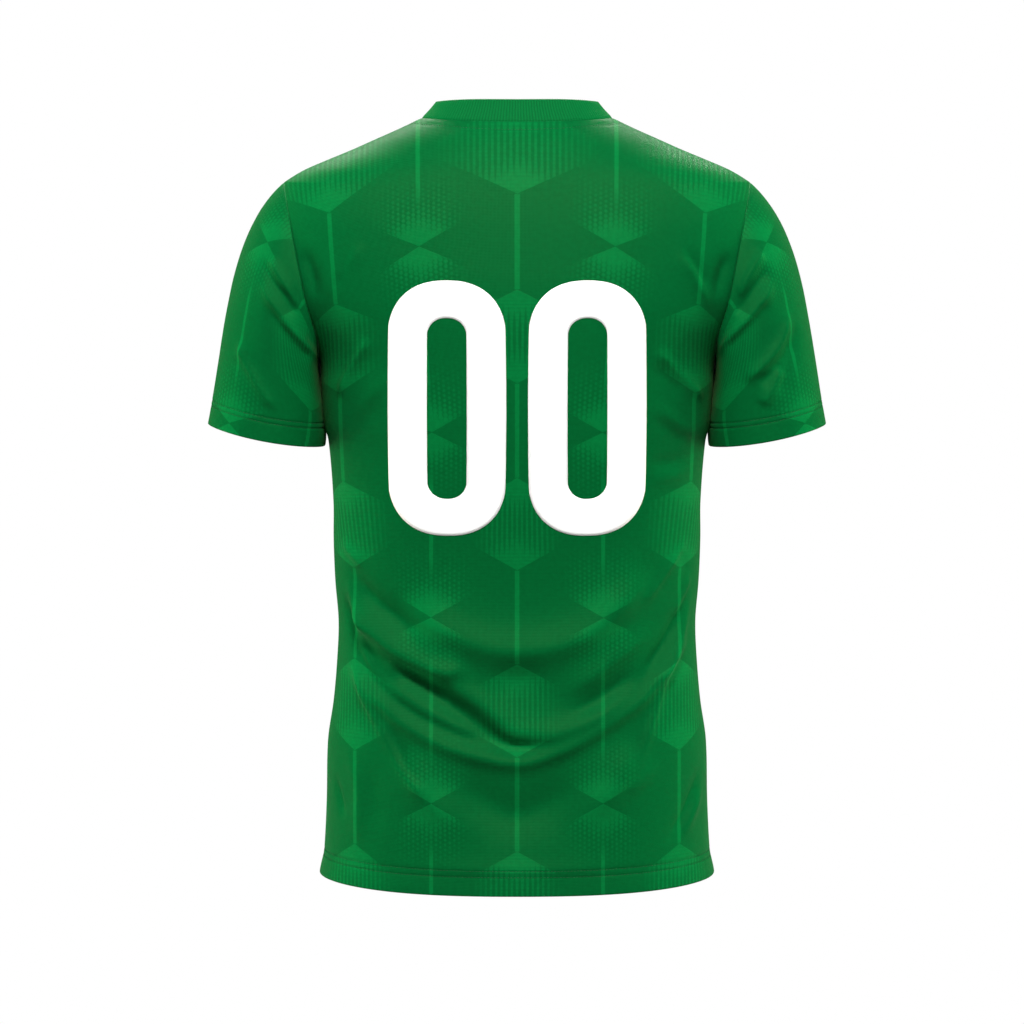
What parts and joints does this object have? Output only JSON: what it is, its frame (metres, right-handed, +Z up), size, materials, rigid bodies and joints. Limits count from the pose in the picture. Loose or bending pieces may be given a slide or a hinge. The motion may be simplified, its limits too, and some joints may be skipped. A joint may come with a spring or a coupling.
{
  "type": "football jersey",
  "caption": "Short-sleeved green football jersey in worn shape with a round rib collar, plain white number area and soft drape folds over an open, hollow body.",
  "frame": {"origin": "mid-plane between the two high shoulder points, where a wearer's shoulders hold the jersey up", "axes": "+Z up, +Y towards the back, +X towards the wearer's left arm"},
  "size_m": [0.592, 0.2345, 0.7495],
  "materials": {
    "jersey_cloth": "smooth polyester interlock with a soft sheen",
    "collar_rib": "fine rib knit"
  },
  "bodies": {
    "root": {"back": "jersey_cloth", "front": "jersey_cloth", "sleeve_left": "jersey_cloth", "sleeve_right": "jersey_cloth", "collar": "collar_rib"}
  },
  "joints": []
}
